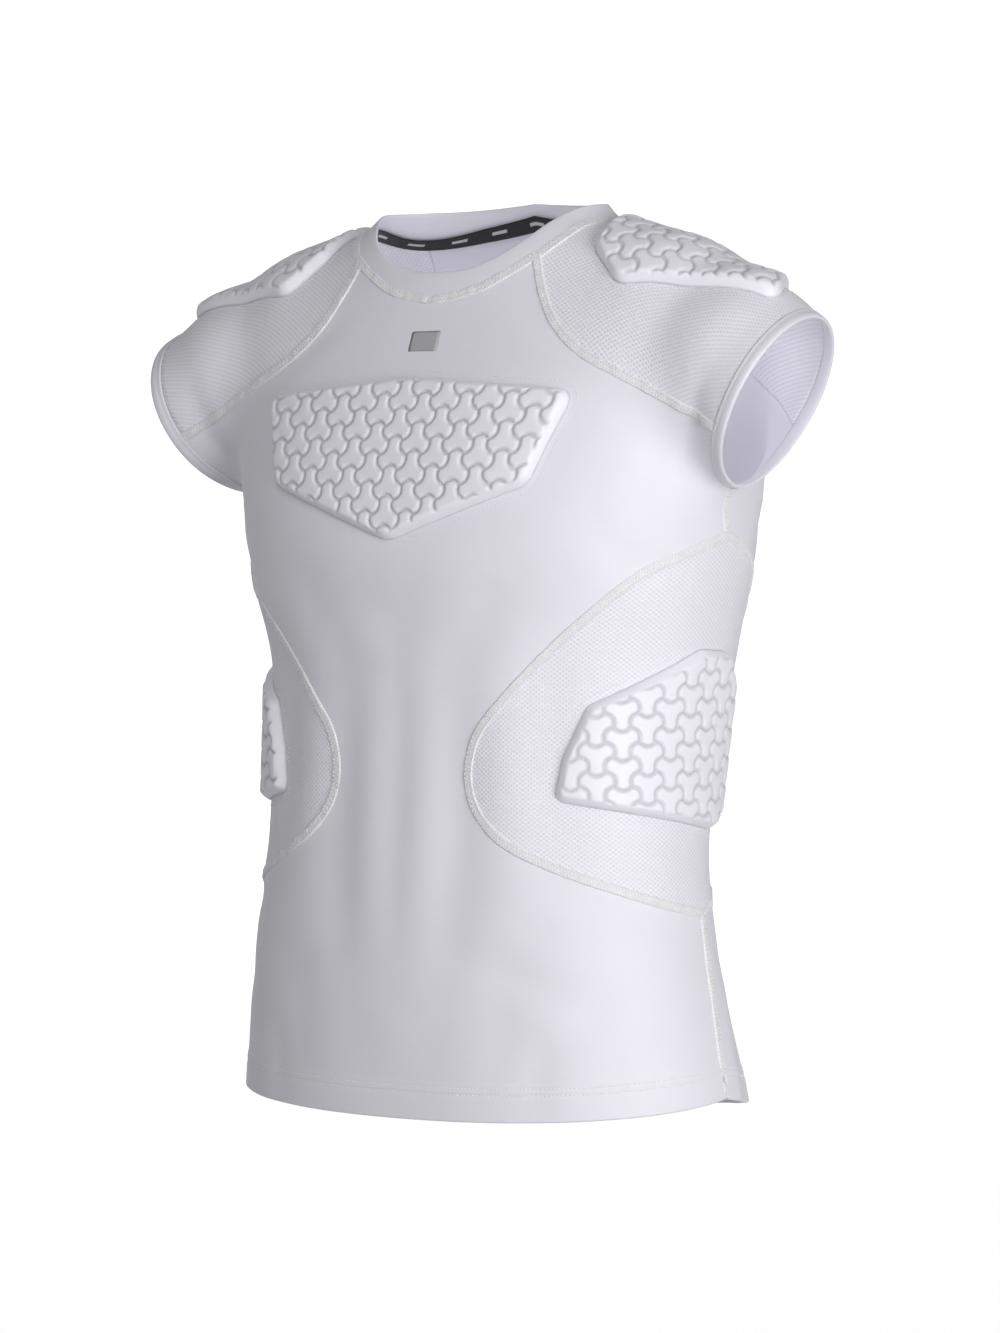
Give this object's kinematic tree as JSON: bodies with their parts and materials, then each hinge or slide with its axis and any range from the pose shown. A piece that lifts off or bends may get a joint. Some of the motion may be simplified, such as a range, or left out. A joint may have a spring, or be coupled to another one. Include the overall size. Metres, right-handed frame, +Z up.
{
  "type": "padded compression shirt",
  "caption": "White padded compression shirt with short cap sleeves, mesh panels and tiled foam pads, standing hollow as when worn.",
  "frame": {"origin": "middle of the neck opening at shoulder height, where the wearer holds the shirt up", "axes": "+X to the wearer's left, the front faces -Y, +Z up"},
  "size_m": [0.5518, 0.2755, 0.6592],
  "materials": {
    "cloth": "smooth stretch knit with a soft sheen",
    "mesh": "fine mesh knit, matt",
    "pad": "stretch knit moulded over foam tiles",
    "tape": "woven tape, matt"
  },
  "bodies": {
    "root": {"front_panel": "cloth", "back_panel": "cloth", "collar": "cloth", "cuff_left": "cloth", "cuff_right": "cloth", "shoulder_panel_left": "mesh", "shoulder_panel_right": "mesh", "side_panel_left": "mesh", "side_panel_right": "mesh", "chest_pad": "pad", "rib_pad_left": "pad", "rib_pad_right": "pad", "shoulder_pad_left": "pad", "shoulder_pad_right": "pad", "neck_tape": "tape"}
  },
  "joints": []
}
